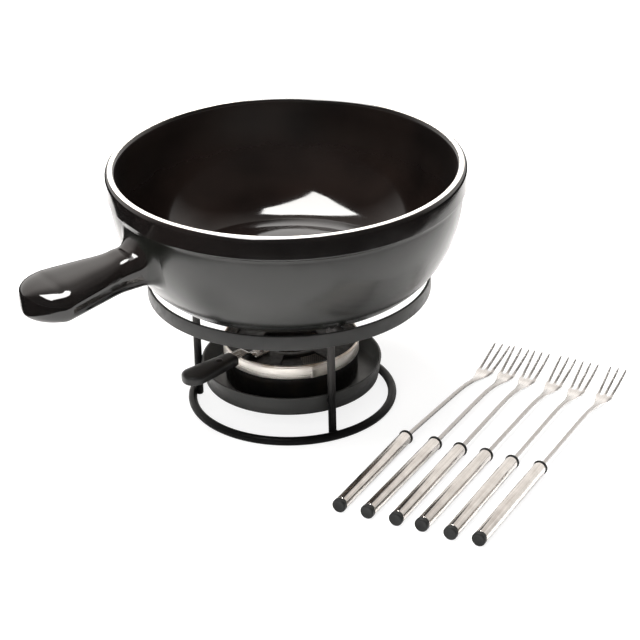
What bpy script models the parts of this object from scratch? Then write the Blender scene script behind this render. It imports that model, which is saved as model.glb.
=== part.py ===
"""Fondue pot set: a glazed ceramic pot on a wire stand, with a spirit burner and a row of forks.

Metres, +Z up. The origin is the middle of the set's footprint, on the table. The pot, the stand
and the burner share one upright axis, and the forks lie side by side in front and to the right.
"""
from math import cos, pi, radians, sin, sqrt, tan

import bmesh
import bpy
from mathutils import Matrix, Vector

# ---------------------------------------------------------------- driving dimensions (metres)
GAP = 0.0003                  # clearance between pieces that touch or are welded on the real set

STAND_AXIS = (-0.0298, 0.0430)   # where the stand stands, from the middle of the footprint

# wire stand
RING_R = 0.0689               # base ring, to the middle of its wire
RING_WIRE = 0.0030            # radius of the base ring's wire
UPRIGHT_R = 0.0648            # uprights, distance from the stand's axis
UPRIGHT_WIRE = 0.0027         # radius of the uprights' wire
UPRIGHT_ANGLES = (-66.3, 53.7, 173.7)
UPRIGHT_FOOT = 0.0004         # the feet stop just above the table
ARM_BEND = 0.0065             # bend radius where an upright turns out to the band
BAND_R = 0.0960               # outside of the top band
BAND_THICK = 0.0018
BAND_LOW = 0.0850
BAND_HIGH = 0.0953
ARM_Z = BAND_LOW + 0.0020     # middle of the arms that carry the pot

# burner tray, welded between the uprights
TRAY_LOW = 0.0172
TRAY_HIGH = 0.0314
TRAY_FLOOR_R = 0.0604
TRAY_RIM_R = 0.0618
TRAY_SHEET = 0.0012

# pot
POT_BASE = ARM_Z + UPRIGHT_WIRE + GAP
POT_BASE_R = 0.0740           # flat part of the underside
POT_WALL_R = 0.1177           # outside of the wall under the collar
COLLAR_LOW = 0.1590
POT_R = 0.1200                # outside of the collar
POT_TOP = 0.1760
POT_MOUTH_R = 0.1130          # inside of the lip
POT_FLOOR = 0.0975
POT_FLOOR_R = 0.0680
WALL_CURVE = 1.85             # roundness of the outside, 2 would be an ellipse
INNER_CURVE = 2.0

# pot handle
HANDLE_ANGLE = 213.5
HANDLE_END = 0.2012           # from the stand's axis to the tip
HANDLE_ROUND = 0.0260         # length of the rounded end
HANDLE_CURVE = 2.1            # roundness of the end in plan, 2 would be an ellipse

# burner
CUP_R = 0.0454
CUP_SHEET = 0.0008
CUP_LOW = TRAY_LOW + TRAY_SHEET + GAP
CUP_HIGH = 0.0420
COLLAR_R = 0.0465             # steel collar round the top of the cup
COLLAR_SHEET = 0.0008
COLLAR_BOTTOM = 0.0375
COLLAR_TOP = 0.0476
SHELF_Z = CUP_HIGH + GAP      # underside of the collar's inner shelf
SHELF_HOLE = 0.0200
PLATE_Z = SHELF_Z + COLLAR_SHEET + GAP
PLATE_R = 0.0452
PLATE_SHEET = 0.0010
WINDOW_LOW_R = 0.0245
WINDOW_HIGH_R = 0.0395
WINDOW_ANGLE = 50.0
WINDOW_COUNT = 3

# regulator lever
LEVER_ANGLE = 222.9
LEVER_TO_OPEN = 25.0          # turn that brings the plate's windows over those of the shelf
STRIP_WIDTH = 0.0090
STRIP_THICK = 0.0012
STRIP_INNER = 0.0240
STRIP_OUTER = 0.0800
STRIP_OVER = 0.0506           # underside of the strip where it passes over the lip
GRIP_INNER = 0.0530
GRIP_NECK = 0.0056            # half width where the strip enters
GRIP_CENTRE = 0.0878          # middle of the grip's round end
GRIP_END_R = 0.0090
GRIP_LOW = 0.0458
GRIP_HIGH = 0.0532
RIVET_R = 0.0012
RIVET_HEAD_R = 0.0023
RIVET_HEAD = 0.0009
PLATE_RIVETS = (0.0270, 0.0345)
GRIP_RIVET = 0.0660

# forks
FORKS = (                     # end of the handle from the stand's axis, direction, lean of the rod
    (0.0269, -0.1583, 61.2, -3.7),
    (0.0444, -0.1670, 60.3, 0.0),
    (0.0620, -0.1768, 61.4, 0.0),
    (0.0778, -0.1848, 60.9, 0.0),
    (0.0952, -0.1956, 61.7, 0.0),
    (0.1123, -0.2040, 61.4, 0.0),
)
TUBE_R = 0.0045
TUBE_SHEET = 0.0006
TUBE_START = 0.0040
TUBE_END = 0.0980
CAP_R = 0.0047
PLUG_R = 0.0050               # flange of the plug where the rod comes out
PLUG_FLANGE = 0.0016
PLUG_END = 0.1020
ROD_R = 0.0015
ROD_START = 0.0890
FORK_SIDES = 12

TURN_SEGMENTS = 48


# ---------------------------------------------------------------- scene and materials
def clear_scene():
    for item in list(bpy.data.objects):
        bpy.data.objects.remove(item, do_unlink=True)


def make_material(name, colour, roughness, metallic):
    material = bpy.data.materials.new(name)
    material.use_nodes = True
    shader = material.node_tree.nodes["Principled BSDF"]
    shader.inputs["Base Color"].default_value = (*colour, 1.0)
    shader.inputs["Roughness"].default_value = roughness
    shader.inputs["Metallic"].default_value = metallic
    return material


def make_empty(name, x, y, parent=None):
    empty = bpy.data.objects.new(name, None)
    bpy.context.collection.objects.link(empty)
    empty.location = (x, y, 0.0)
    empty.parent = parent
    return empty


def finish_object(bm, name, material, parent, sharp=30.0):
    """Turn a bmesh into a named object, smooth except at its real edges."""
    bmesh.ops.remove_doubles(bm, verts=bm.verts, dist=1e-6)
    bmesh.ops.recalc_face_normals(bm, faces=bm.faces)
    mesh = bpy.data.meshes.new(name)
    bm.to_mesh(mesh)
    bm.free()
    mesh.shade_smooth()
    mesh.set_sharp_from_angle(angle=radians(sharp))
    mesh.materials.append(material)
    item = bpy.data.objects.new(name, mesh)
    bpy.context.collection.objects.link(item)
    item.parent = parent
    return item


def hide_cutter(item):
    item.hide_render = True
    item.display_type = "WIRE"


def add_boolean(item, operand, operation):
    modifier = item.modifiers.new(operation.lower(), "BOOLEAN")
    modifier.operation = operation
    modifier.solver = "EXACT"
    modifier.object = operand
    hide_cutter(operand)


# ---------------------------------------------------------------- shape tools
def turned(profile, segments=TURN_SEGMENTS, closed=True):
    """Spin an outline of (radius, height) points about Z; an open one starts and ends on Z."""
    bm = bmesh.new()
    points = [bm.verts.new((radius, 0.0, height)) for radius, height in profile]
    edges = [bm.edges.new(pair) for pair in zip(points, points[1:])]
    if closed:
        edges.append(bm.edges.new((points[-1], points[0])))
    bmesh.ops.spin(bm, geom=points + edges, cent=(0, 0, 0), axis=(0, 0, 1), dvec=(0, 0, 0),
                   angle=2 * pi, steps=segments, use_merge=True, use_duplicate=False)
    bmesh.ops.remove_doubles(bm, verts=bm.verts, dist=1e-6)
    return bm


def lofted(rings):
    """Join equal rings of points into one closed skin with a flat cap at each end."""
    bm = bmesh.new()
    loops = [[bm.verts.new(point) for point in ring] for ring in rings]
    count = len(loops[0])
    for low, high in zip(loops, loops[1:]):
        for i in range(count):
            j = (i + 1) % count
            bm.faces.new((low[i], low[j], high[j], high[i]))
    bm.faces.new(reversed(loops[0]))
    bm.faces.new(loops[-1])
    return bm


def circle_ring(centre, across, upward, radius, sides):
    """Points of a circle in the plane of two unit vectors."""
    return [centre + across * (radius * cos(2 * pi * i / sides))
            + upward * (radius * sin(2 * pi * i / sides)) for i in range(sides)]


def wire(path, radius, sides):
    """A round wire along points that all lie in the XZ plane."""
    rings = []
    for i, point in enumerate(path):
        ahead = (path[min(i + 1, len(path) - 1)] - point).normalized() if i + 1 < len(path) else None
        behind = (point - path[i - 1]).normalized() if i else None
        along = ((ahead or behind) + (behind or ahead)).normalized()
        inward = Vector((along.z, 0.0, -along.x))
        rings.append(circle_ring(point, Vector((0, 1, 0)), inward, radius, sides))
    return lofted(rings)


def arc(centre_x, centre_z, radius, start, end, steps):
    """Points (x, z) along an arc, angles in degrees."""
    angles = [radians(start + (end - start) * i / steps) for i in range(steps + 1)]
    return [(centre_x + radius * cos(a), centre_z + radius * sin(a)) for a in angles]


def prism(outline, low, high):
    """Extrude a flat outline of (x, y) points between two heights."""
    return lofted([[Vector((x, y, z)) for x, y in outline] for z in (low, high)])


def bowl_curve(inner, outer, low, high, power, steps):
    """Wall of a bowl: (radius, height) points from its flat base to its upright top."""
    points = []
    for i in range(steps + 1):
        angle = 0.5 * pi * i / steps
        reach = sin(angle) ** (2 / power)
        rise = 1 - cos(angle) ** (2 / power)
        points.append((inner + (outer - inner) * reach, low + (high - low) * rise))
    return points


def turn_about_axis(item, angle):
    item.rotation_euler = (0.0, 0.0, radians(angle))


# ---------------------------------------------------------------- pot
def wall_radius(height, inner, outer, low, high, power):
    """Radius of a bowl_curve wall at a height."""
    rise = min(max((height - low) / (high - low), 0.0), 1.0)
    return inner + (outer - inner) * (1 - (1 - rise) ** power) ** (1 / power)


def pot_middle_of_wall(height):
    outside = wall_radius(height, POT_BASE_R, POT_WALL_R, POT_BASE, COLLAR_LOW, WALL_CURVE)
    inside = wall_radius(height, POT_FLOOR_R, POT_MOUTH_R - 0.0006, POT_FLOOR, POT_TOP - 0.010,
                         INNER_CURVE)
    return 0.5 * (inside + outside)


def pot_profile():
    outside = bowl_curve(POT_BASE_R, POT_WALL_R, POT_BASE, COLLAR_LOW, WALL_CURVE, 9)
    collar = [(POT_R - 0.0008, COLLAR_LOW + 0.0006), (POT_R, COLLAR_LOW + 0.0020),
              (POT_R, POT_TOP - 0.0034)]
    lip_middle = 0.5 * (POT_R + POT_MOUTH_R)
    lip_half = 0.5 * (POT_R - POT_MOUTH_R)
    lip = arc(lip_middle, POT_TOP - lip_half, lip_half, 20, 160, 5)
    inside = bowl_curve(POT_FLOOR_R, POT_MOUTH_R - 0.0006, POT_FLOOR, POT_TOP - 0.010,
                        INNER_CURVE, 8)
    return [(0.0, POT_BASE)] + outside + collar + lip + inside[::-1] + [(0.0, POT_FLOOR)]


def handle_section(distance, half_width, low, high, sides=20, squareness=2.8):
    """Rounded-rectangle ring across the handle, which runs along +X."""
    ring = []
    for i in range(sides):
        angle = 2 * pi * (i + 0.5) / sides
        across = abs(cos(angle)) ** (2 / squareness) * (1 if cos(angle) > 0 else -1)
        upward = abs(sin(angle)) ** (2 / squareness) * (1 if sin(angle) > 0 else -1)
        height = 0.5 * (low + high) + 0.5 * (high - low) * upward
        ring.append(Vector((distance, half_width * across, height)))
    return ring


def handle_rings():
    """Sections from the middle of the pot's wall out to the rounded end."""
    root = handle_section(0.0, 0.0158, 0.1205, 0.1585)
    for point in root:
        point.x = sqrt(max(pot_middle_of_wall(point.z) ** 2 - point.y ** 2, 0.0))
    rings = [root]
    # distance from the axis, half width, underside, top
    neck = ((0.1175, 0.0156, 0.1210, 0.1570), (0.1205, 0.0152, 0.1214, 0.1530),
            (0.1260, 0.0148, 0.1220, 0.1488), (0.1340, 0.0149, 0.1224, 0.1462))
    rings += [handle_section(*section) for section in neck]
    straight_end = HANDLE_END - HANDLE_ROUND
    rings.append(handle_section(straight_end, 0.0247, 0.1192, 0.1440))
    for angle in (26, 46, 64, 80):
        bulge = cos(radians(angle)) ** (2 / HANDLE_CURVE)
        distance = straight_end + HANDLE_ROUND * sin(radians(angle)) ** (2 / HANDLE_CURVE)
        half = 0.0124 * (0.50 + 0.50 * bulge)
        rings.append(handle_section(distance, 0.0264 * bulge, 0.1308 - half, 0.1308 + half))
    return rings


def make_pot(material, parent):
    pot = finish_object(turned(pot_profile(), closed=False), "pot", material, parent, 40)
    handle = finish_object(lofted(handle_rings()), "pot_handle_blank", material, parent, 40)
    turn_about_axis(handle, HANDLE_ANGLE)
    add_boolean(pot, handle, "UNION")


# ---------------------------------------------------------------- stand
def make_base_ring(material, parent):
    """Wire ring whose lowest side is flat, so that it rests on a face."""
    sides = 8
    corner = RING_WIRE / cos(pi / sides)
    section = [(RING_R + corner * cos(2 * pi * (i + 0.5) / sides),
                RING_WIRE + corner * sin(2 * pi * (i + 0.5) / sides)) for i in range(sides)]
    return finish_object(turned(section), "base_ring", material, parent, 60)


def make_top_band(material, parent):
    inside = BAND_R - BAND_THICK
    section = [(inside, BAND_LOW), (BAND_R, BAND_LOW), (BAND_R, BAND_HIGH), (inside, BAND_HIGH)]
    finish_object(turned(section), "top_band", material, parent)


def make_upright(index, angle, ring_cutter, material, parent):
    """Foot coped to the base ring, straight up, then out to the band as an arm under the pot."""
    foot = Vector((UPRIGHT_R, 0.0, UPRIGHT_FOOT))
    bend = [Vector((x, 0.0, z)) for x, z in
            arc(UPRIGHT_R + ARM_BEND, ARM_Z - ARM_BEND, ARM_BEND, 180, 90, 4)]
    tip = Vector((BAND_R - BAND_THICK - 2 * GAP, 0.0, ARM_Z))
    upright = finish_object(wire([foot] + bend + [tip], UPRIGHT_WIRE, 10),
                            f"upright_{index}", material, parent, 60)
    turn_about_axis(upright, angle)
    add_boolean(upright, ring_cutter, "DIFFERENCE")


def make_ring_cutter(material, parent):
    """Space that the base ring takes in the uprights' feet."""
    sides = 8
    corner = (RING_WIRE + GAP) / cos(pi / sides)
    section = [(RING_R + corner * cos(2 * pi * (i + 0.5) / sides),
                RING_WIRE + corner * sin(2 * pi * (i + 0.5) / sides)) for i in range(sides)]
    return finish_object(turned(section), "ring_cutter", material, parent)


def make_tray(material, parent):
    section = [(0.0, TRAY_LOW), (TRAY_FLOOR_R - 0.0020, TRAY_LOW),
               (TRAY_FLOOR_R, TRAY_LOW + 0.0016), (TRAY_RIM_R, TRAY_HIGH - 0.0004),
               (TRAY_RIM_R - 0.0006, TRAY_HIGH), (TRAY_RIM_R - TRAY_SHEET, TRAY_HIGH - 0.0004),
               (TRAY_FLOOR_R - TRAY_SHEET, TRAY_LOW + TRAY_SHEET + 0.0014),
               (TRAY_FLOOR_R - TRAY_SHEET - 0.0016, TRAY_LOW + TRAY_SHEET),
               (0.0, TRAY_LOW + TRAY_SHEET)]
    finish_object(turned(section, closed=False), "burner_tray", material, parent)


def make_stand(material, parent):
    make_base_ring(material, parent)
    make_top_band(material, parent)
    cutter = make_ring_cutter(material, parent)
    for index, angle in enumerate(UPRIGHT_ANGLES, start=1):
        make_upright(index, angle, cutter, material, parent)
    make_tray(material, parent)


# ---------------------------------------------------------------- burner
def window_outline(centre):
    """Flat outline of one sector window."""
    half = WINDOW_ANGLE / 2
    return (arc(0, 0, WINDOW_HIGH_R, centre - half, centre + half, 5)
            + arc(0, 0, WINDOW_LOW_R, centre + half, centre - half, 4))


def cut_windows(item, name, first, low, high, material, parent):
    for index in range(WINDOW_COUNT):
        centre = first + 360 / WINDOW_COUNT * index
        cutter = finish_object(prism(window_outline(centre), low, high),
                               f"{name}_window_{index}", material, parent)
        add_boolean(item, cutter, "DIFFERENCE")


def make_cup(material, parent):
    inside = CUP_R - CUP_SHEET
    section = [(0.0, CUP_LOW), (CUP_R - 0.0015, CUP_LOW), (CUP_R, CUP_LOW + 0.0015),
               (CUP_R, CUP_HIGH), (inside, CUP_HIGH), (inside, CUP_LOW + 0.0022),
               (inside - 0.0012, CUP_LOW + CUP_SHEET), (0.0, CUP_LOW + CUP_SHEET)]
    finish_object(turned(section, closed=False), "burner_cup", material, parent)


def make_filling(fibre, mesh_wire, parent):
    """Absorbent pad in the cup, and the gauze that holds it down."""
    radius = CUP_R - CUP_SHEET - 0.0012
    pad_low = CUP_LOW + CUP_SHEET + GAP
    pad_high = 0.0330
    pad = [(0.0, pad_low), (radius - 0.002, pad_low), (radius, pad_low + 0.002),
           (radius, pad_high - 0.002), (radius - 0.002, pad_high), (0.0, pad_high)]
    finish_object(turned(pad, 32, closed=False), "absorbent_pad", fibre, parent)
    gauze_low = pad_high + GAP
    gauze = [(0.0, gauze_low), (radius, gauze_low), (radius, gauze_low + 0.0007),
             (0.0, gauze_low + 0.0007)]
    finish_object(turned(gauze, 32, closed=False), "burner_gauze", mesh_wire, parent)


def make_collar(material, parent):
    """Steel collar over the cup: wall, rolled lip, and a shelf with windows for the flame."""
    inside = COLLAR_R - COLLAR_SHEET
    shelf_top = SHELF_Z + COLLAR_SHEET
    section = [(inside, COLLAR_BOTTOM), (COLLAR_R, COLLAR_BOTTOM), (COLLAR_R, COLLAR_TOP - 0.0012),
               (COLLAR_R + 0.0003, COLLAR_TOP - 0.0005), (COLLAR_R - 0.0003, COLLAR_TOP),
               (inside - 0.0002, COLLAR_TOP - 0.0005), (inside, COLLAR_TOP - 0.0012),
               (inside, shelf_top), (SHELF_HOLE, shelf_top), (SHELF_HOLE, SHELF_Z),
               (inside, SHELF_Z)]
    collar = finish_object(turned(section), "burner_collar", material, parent)
    first = LEVER_ANGLE + LEVER_TO_OPEN + 180 / WINDOW_COUNT
    cut_windows(collar, "shelf", first, SHELF_Z - 0.002, shelf_top + 0.002, material, parent)


def make_regulator_plate(material, parent):
    """Turning plate on the shelf; its windows open and close those of the shelf."""
    top = PLATE_Z + PLATE_SHEET
    section = [(SHELF_HOLE, PLATE_Z), (PLATE_R, PLATE_Z), (PLATE_R, top), (SHELF_HOLE, top)]
    plate = finish_object(turned(section), "regulator_plate", material, parent)
    first = LEVER_ANGLE + 180 / WINDOW_COUNT
    cut_windows(plate, "plate", first, PLATE_Z - 0.002, top + 0.002, material, parent)


def make_burner(steel, fibre, mesh_wire, black_metal, parent):
    make_cup(black_metal, parent)
    make_filling(fibre, mesh_wire, parent)
    make_collar(steel, parent)
    make_regulator_plate(black_metal, parent)


# ---------------------------------------------------------------- regulator lever (along +X)
def hole_cutter(name, distance, low, high, material, parent):
    ring = [(RIVET_R + GAP) * Vector((cos(2 * pi * i / 10), sin(2 * pi * i / 10)))
            for i in range(10)]
    outline = [(distance + point.x, point.y) for point in ring]
    return finish_object(prism(outline, low, high), name, material, parent)


def make_rivet(name, distance, low, high, foot_radius, material, parent):
    """Shank with a domed head on top, and a foot of its own radius below."""
    shoulder = [(0.0, low)]
    if foot_radius > RIVET_R:
        shoulder += [(foot_radius, low), (foot_radius, low + RIVET_HEAD),
                     (RIVET_R, low + RIVET_HEAD)]
    else:
        shoulder += [(RIVET_R, low)]
    head = [(RIVET_R, high), (RIVET_HEAD_R, high), (RIVET_HEAD_R - 0.0004, high + 0.6 * RIVET_HEAD),
            (0.0, high + RIVET_HEAD)]
    rivet = finish_object(turned(shoulder + head, 10, closed=False), name, material, parent, 60)
    rivet.location = (distance * cos(radians(LEVER_ANGLE)), distance * sin(radians(LEVER_ANGLE)), 0)


def strip_profile():
    """Side view of the strip: flat on the plate, up over the collar's lip, out into the grip."""
    low = PLATE_Z + PLATE_SHEET + GAP
    under = [(STRIP_INNER, low), (0.0375, low), (0.0420, STRIP_OVER), (STRIP_OUTER, STRIP_OVER)]
    over = [(x, z + STRIP_THICK) for x, z in under]
    over[1] = (over[1][0] - 0.0005, over[1][1])
    over[2] = (over[2][0] - 0.0005, over[2][1])
    return under + over[::-1]


def make_strip(steel, parent):
    half = STRIP_WIDTH / 2
    rings = [[Vector((x, y, z)) for x, z in strip_profile()] for y in (-half, half)]
    strip = finish_object(lofted(rings), "lever_strip", steel, parent)
    turn_about_axis(strip, LEVER_ANGLE)
    for index, distance in enumerate(PLATE_RIVETS + (GRIP_RIVET,), start=1):
        cutter = hole_cutter(f"strip_hole_{index}", distance, PLATE_Z, STRIP_OVER + 0.01,
                             steel, parent)
        turn_about_axis(cutter, LEVER_ANGLE)
        add_boolean(strip, cutter, "DIFFERENCE")
    return strip


def grip_outline():
    """Plan of the grip: a slim neck that widens to a round end."""
    end = arc(GRIP_CENTRE, 0, GRIP_END_R, -100, 100, 12)
    swell = (GRIP_INNER + 0.016, GRIP_NECK + 0.0017)
    return [(GRIP_INNER, GRIP_NECK), (GRIP_INNER, -GRIP_NECK), (swell[0], -swell[1])] \
        + end + [swell]


def make_grip(phenolic, parent):
    outline = grip_outline()
    centre_x = 0.5 * (GRIP_INNER + GRIP_CENTRE + GRIP_END_R)
    edge = 0.0016

    def level(height, inset):
        ring = []
        for x, y in outline:
            toward = 1 if x < centre_x else -1
            shrink = 1 - inset / max(abs(y), 0.004) if abs(y) > 0.0015 else 1
            ring.append(Vector((x + toward * inset, y * shrink, height)))
        return ring

    rings = [level(GRIP_LOW, edge), level(GRIP_LOW + edge, 0.0), level(GRIP_HIGH - edge, 0.0),
             level(GRIP_HIGH, edge)]
    grip = finish_object(lofted(rings), "lever_grip", phenolic, parent, 50)
    turn_about_axis(grip, LEVER_ANGLE)
    side = STRIP_WIDTH / 2 + GAP
    slot = [(GRIP_INNER - 0.005, -side), (STRIP_OUTER + GAP, -side), (STRIP_OUTER + GAP, side),
            (GRIP_INNER - 0.005, side)]
    slot_cutter = finish_object(prism(slot, STRIP_OVER - GAP, STRIP_OVER + STRIP_THICK + GAP),
                                "grip_slot", phenolic, parent)
    hole = hole_cutter("grip_hole", GRIP_RIVET, GRIP_LOW - 0.01, GRIP_HIGH + 0.01, phenolic, parent)
    for cutter in (slot_cutter, hole):
        turn_about_axis(cutter, LEVER_ANGLE)
        add_boolean(grip, cutter, "DIFFERENCE")
    make_rivet("grip_rivet", GRIP_RIVET, GRIP_LOW - GAP - RIVET_HEAD, GRIP_HIGH + GAP,
               RIVET_HEAD_R, phenolic, parent)


def make_lever(steel, phenolic, parent):
    make_strip(steel, parent)
    make_grip(phenolic, parent)
    plate = bpy.data.objects["regulator_plate"]
    strip_top = PLATE_Z + PLATE_SHEET + GAP + STRIP_THICK
    for index, distance in enumerate(PLATE_RIVETS, start=1):
        cutter = hole_cutter(f"plate_hole_{index}", distance, PLATE_Z - 0.002, PLATE_Z + 0.004,
                             steel, parent)
        turn_about_axis(cutter, LEVER_ANGLE)
        add_boolean(plate, cutter, "DIFFERENCE")
        make_rivet(f"plate_rivet_{index}", distance, PLATE_Z + 0.0001, strip_top + GAP,
                   0.0, steel, parent)


# ---------------------------------------------------------------- forks (along +X from the cap)
def fork_height(distance):
    """Height of the middle of the rod and prongs above the table."""
    stations = ((0.0, 0.0050), (0.168, 0.0050), (0.182, 0.0046), (0.196, 0.0026), (0.206, 0.0012),
                (0.214, 0.0021), (0.227, 0.0064), (0.239, 0.0112))
    for (s0, z0), (s1, z1) in zip(stations, stations[1:]):
        if distance <= s1:
            return z0 + (z1 - z0) * (distance - s0) / (s1 - s0)
    return stations[-1][1]


def rod_shift(distance, lean):
    """Sideways shift of a rod that leans from where it leaves its handle."""
    return tan(radians(lean)) * max(distance - PLUG_END, 0.0)


def fork_ring(distance, half_width, half_thick, roundness, lean):
    """Twelve points across the rod or palm: six below, then six above, from side to side."""
    below = []
    for i, across in enumerate((-1.0, -0.55, -0.2, 0.2, 0.55, 1.0)):
        angle = pi + pi * (i + 0.5) / 6
        y = roundness * cos(angle) + (1 - roundness) * across
        z = roundness * sin(angle) + (1 - roundness) * -1.0
        below.append((y * half_width, z * half_thick))
    above = [(y, -z) for y, z in reversed(below)]
    shift = rod_shift(distance, lean)
    height = fork_height(distance)
    return [Vector((distance, shift + y, height + z)) for y, z in below + above]


def add_band(bm, ring, further):
    """Faces between two equal rings of vertices."""
    count = len(ring)
    for i in range(count):
        j = (i + 1) % count
        bm.faces.new((ring[i], ring[j], further[j], further[i]))


def add_prong(bm, ring, side, lean):
    """Draw one prong out of four vertices of the palm's end; side is -1, 0 or 1."""
    for distance, half, spread in ((0.2260, 0.00085, 0.0051), (0.2360, 0.0007, 0.0055),
                                   (0.2390, 0.0003, 0.0056)):
        height = fork_height(distance)
        middle = side * spread + rod_shift(distance, lean)
        thick = min(0.0007, half)
        corners = ((-half, -thick), (half, -thick), (half, thick), (-half, thick))
        further = [bm.verts.new((distance, middle + y, height + z)) for y, z in corners]
        add_band(bm, ring, further)
        ring = further
    bm.faces.new(ring)


def make_prongs(name, lean, material, parent):
    """Rod, neck and palm as one loft, and a prong drawn out of each third of the palm's end."""
    bm = bmesh.new()
    # distance, half width, half thickness, roundness
    sections = ((ROD_START, ROD_R, ROD_R, 1.0), (PLUG_END, ROD_R, ROD_R, 1.0),
                (0.168, ROD_R, ROD_R, 1.0), (0.182, ROD_R, ROD_R, 1.0),
                (0.196, 0.0019, 0.0011, 0.8), (0.206, 0.0042, 0.0007, 0.2),
                (0.2125, 0.0061, 0.0007, 0.0))
    loops = [[bm.verts.new(point) for point in fork_ring(*section, lean)] for section in sections]
    for low, high in zip(loops, loops[1:]):
        add_band(bm, low, high)
    bm.faces.new(reversed(loops[0]))
    below, above = loops[-1][:6], loops[-1][:5:-1]
    for i in (1, 3):
        bm.faces.new((below[i], below[i + 1], above[i + 1], above[i]))
    for prong in range(3):
        left, right = 2 * prong, 2 * prong + 1
        add_prong(bm, [below[left], below[right], above[right], above[left]], prong - 1, lean)
    finish_object(bm, name, material, parent, 50)


def along_fork(bm):
    """Lay a turned piece down: its +Z becomes +X, at the height of the handle's middle."""
    lay_down = Matrix.Translation((0, 0, fork_height(0.0))) @ Matrix.Rotation(pi / 2, 4, "Y")
    bmesh.ops.transform(bm, verts=bm.verts, matrix=lay_down)
    return bm


def tube_section():
    inside = TUBE_R - TUBE_SHEET
    return [(inside, TUBE_START), (TUBE_R, TUBE_START), (TUBE_R, TUBE_END), (inside, TUBE_END)]


def cap_section():
    stem = TUBE_R - TUBE_SHEET - GAP
    shoulder = TUBE_START - GAP
    return [(0.0, 0.0), (CAP_R - 0.0007, 0.0), (CAP_R, 0.0007), (CAP_R, shoulder),
            (stem, shoulder), (stem, 0.012), (0.0, 0.012)]


def plug_section():
    stem = TUBE_R - TUBE_SHEET - GAP
    shoulder = TUBE_END + GAP
    flange = shoulder + PLUG_FLANGE
    hole = ROD_R + GAP
    return [(hole, 0.0900), (stem, 0.0900), (stem, shoulder), (PLUG_R, shoulder),
            (PLUG_R, flange - 0.0004), (PLUG_R - 0.0004, flange), (0.0031, flange),
            (0.0024, PLUG_END), (hole, PLUG_END)]


def make_fork(index, steel, plastic, parent):
    """Place one fork in the row, each piece its own object."""
    x, y, direction, lean = FORKS[index - 1]
    holder = make_empty(f"fork_{index}_axis", x, y, parent)
    turn_about_axis(holder, direction)
    name = f"fork_{index}"
    make_prongs(f"{name}_prongs", lean, steel, holder)
    pieces = (("handle", tube_section(), True, steel), ("end_cap", cap_section(), False, plastic),
              ("neck_plug", plug_section(), True, plastic))
    for piece, section, closed, material in pieces:
        bm = along_fork(turned(section, FORK_SIDES, closed))
        finish_object(bm, f"{name}_{piece}", material, holder, 40)


# ---------------------------------------------------------------- build
def main():
    clear_scene()
    glaze = make_material("black_glaze", (0.012, 0.010, 0.010), 0.12, 0.0)
    painted = make_material("black_paint", (0.030, 0.030, 0.029), 0.45, 0.0)
    steel = make_material("stainless_steel", (0.66, 0.64, 0.61), 0.25, 1.0)
    black_metal = make_material("blackened_plate", (0.020, 0.019, 0.018), 0.5, 0.3)
    mesh_wire = make_material("steel_gauze", (0.35, 0.34, 0.33), 0.4, 1.0)
    fibre = make_material("mineral_wool", (0.62, 0.60, 0.55), 0.95, 0.0)
    phenolic = make_material("black_phenolic", (0.018, 0.017, 0.017), 0.3, 0.0)
    plastic = make_material("charcoal_plastic", (0.045, 0.046, 0.047), 0.5, 0.0)
    axis = make_empty("stand_axis", *STAND_AXIS)
    make_pot(glaze, axis)
    make_stand(painted, axis)
    make_burner(steel, fibre, mesh_wire, black_metal, axis)
    make_lever(steel, phenolic, axis)
    for index in range(1, len(FORKS) + 1):
        make_fork(index, steel, plastic, axis)


main()
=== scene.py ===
"""Looks of the fondue pot set: glazed pot, wire stand, spirit burner with its lever, and six forks.

Every length is in metres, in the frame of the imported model, with the table at height zero.
"""
from math import copysign, cos, pi, radians, sin, sqrt, tan

import bmesh
import bpy
from mathutils import Matrix, Vector, noise


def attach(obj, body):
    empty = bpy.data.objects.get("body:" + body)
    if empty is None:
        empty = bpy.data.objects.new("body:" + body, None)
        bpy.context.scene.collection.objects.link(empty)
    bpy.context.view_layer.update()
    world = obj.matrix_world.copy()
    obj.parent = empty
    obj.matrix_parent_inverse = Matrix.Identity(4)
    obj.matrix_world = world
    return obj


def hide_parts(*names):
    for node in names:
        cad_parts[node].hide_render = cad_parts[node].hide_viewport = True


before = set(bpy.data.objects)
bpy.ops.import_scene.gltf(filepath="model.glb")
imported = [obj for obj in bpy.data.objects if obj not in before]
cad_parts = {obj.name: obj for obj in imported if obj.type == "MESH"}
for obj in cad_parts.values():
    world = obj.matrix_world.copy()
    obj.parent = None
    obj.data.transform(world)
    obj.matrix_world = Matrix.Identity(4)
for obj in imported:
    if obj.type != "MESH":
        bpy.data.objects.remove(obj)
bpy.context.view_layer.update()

# ---------- dimensions shared with the CAD
STAND_AXIS = Vector((-0.0298, 0.0430, 0.0))

RING_R = 0.0689
RING_WIRE = 0.0030
UPRIGHT_R = 0.0648
UPRIGHT_WIRE = 0.0027
UPRIGHT_ANGLES = (-66.3, 53.7, 173.7)
ARM_BEND = 0.0065
ARM_Z = 0.0870
BAND_R = 0.0960
BAND_INSIDE = 0.0942
BAND_LOW = 0.0850
BAND_HIGH = 0.0953

TRAY_LOW = 0.0172
TRAY_HIGH = 0.0314
TRAY_FLOOR_R = 0.0604
TRAY_RIM_R = 0.0618
TRAY_SHEET = 0.0012

POT_BASE = 0.0900
POT_BASE_R = 0.0740
POT_WALL_R = 0.1177
COLLAR_LOW = 0.1588
COLLAR_FULL = 0.1612
POT_R = 0.1200
POT_TOP = 0.17589
POT_MOUTH_R = 0.1130
POT_LIP_R = 0.5 * (POT_R - POT_MOUTH_R)
LIP_LINE_DEPTH = 0.00047  # the painted highlight line on the lip reaches this far below its crest
POT_FLOOR = 0.0975
POT_FLOOR_R = 0.0680
WALL_CURVE = 1.85
INNER_CURVE = 2.0

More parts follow.
